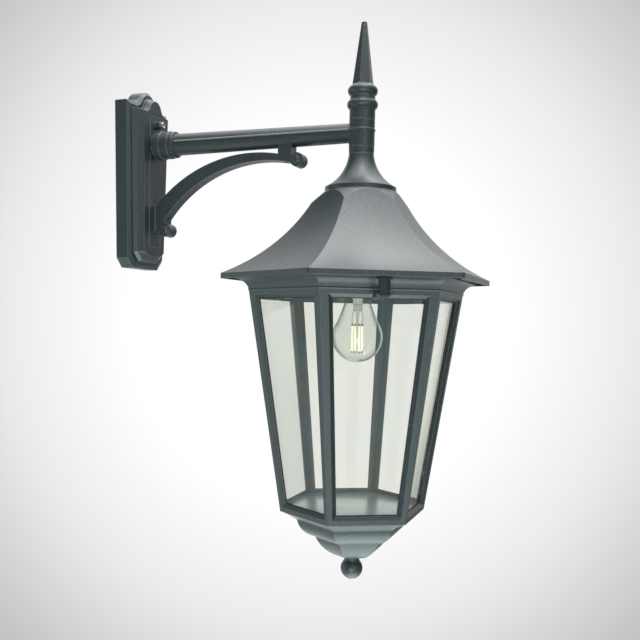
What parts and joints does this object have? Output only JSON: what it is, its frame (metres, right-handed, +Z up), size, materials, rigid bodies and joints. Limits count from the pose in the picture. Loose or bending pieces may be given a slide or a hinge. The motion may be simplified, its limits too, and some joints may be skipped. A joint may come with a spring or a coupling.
{
  "type": "outdoor wall lantern",
  "caption": "Hexagonal outdoor wall lantern hanging from a bracket arm, with a bell-cast roof, tapered glazed cage that swings open, and a clear filament lamp",
  "frame": {"origin": "on the wall, midway between the two wall holes of the mounting bar", "axes": "+X out of the wall, +Z up, +Y to the left when looking at the wall"},
  "size_m": [0.4493, 0.3224, 0.6536],
  "materials": {
    "casting": "graphite black fine-textured powder coat on cast aluminium",
    "steel": "zinc plated steel",
    "terminal": "natural moulded nylon",
    "holder": "black moulded phenolic",
    "lamp_metal": "bare rolled cap",
    "lamp_glass": "thin clear glass",
    "filament": "pale yellow phosphor coat",
    "flex": "black sheath",
    "pane_glass": "clear float glass",
    "latch": "black moulded plastic"
  },
  "bodies": {
    "bracket": {"wall_plate": "casting", "mounting_bar": "steel", "plate_screws": "steel", "terminal_block": "terminal", "arm": "casting", "arm_screws": "steel", "brace": "casting", "brace_screws": "steel", "spire_finial": "casting", "bell": "casting", "threaded_tube": "steel", "washer": "steel", "lock_nut": "steel", "roof": "casting", "hinge_pin": "steel", "holder_cap": "holder", "holder_insert": "holder", "holder_body": "holder", "lamp_cap": "lamp_metal", "lamp_globe": "lamp_glass", "lamp_stem": "lamp_glass", "lamp_filaments": "filament", "lamp_flex": "flex"},
    "cage": {"cage_frame": "casting", "pane_clips": "steel", "pane_clip_screws": "steel", "bottom_pan": "casting", "ball_finial": "casting", "latch_pin": "steel", "glass_pane_1": "pane_glass", "glass_pane_2": "pane_glass", "glass_pane_3": "pane_glass", "glass_pane_4": "pane_glass", "glass_pane_5": "pane_glass", "glass_pane_6": "pane_glass"},
    "latch": {"latch": "latch"}
  },
  "joints": [
    {"name": "cage_hinge", "type": "hinge", "parent": "bracket", "child": "cage", "pos_m": [0.24376, 0.11299, -0.1173], "axis": [0.866, 0.5, 0], "range_deg": [0, 90]},
    {"name": "latch_pivot", "type": "hinge", "parent": "cage", "child": "latch", "pos_m": [0.37249, -0.10996, -0.1386], "axis": [0.866, 0.5, 0], "range_deg": [0, 14]}
  ]
}
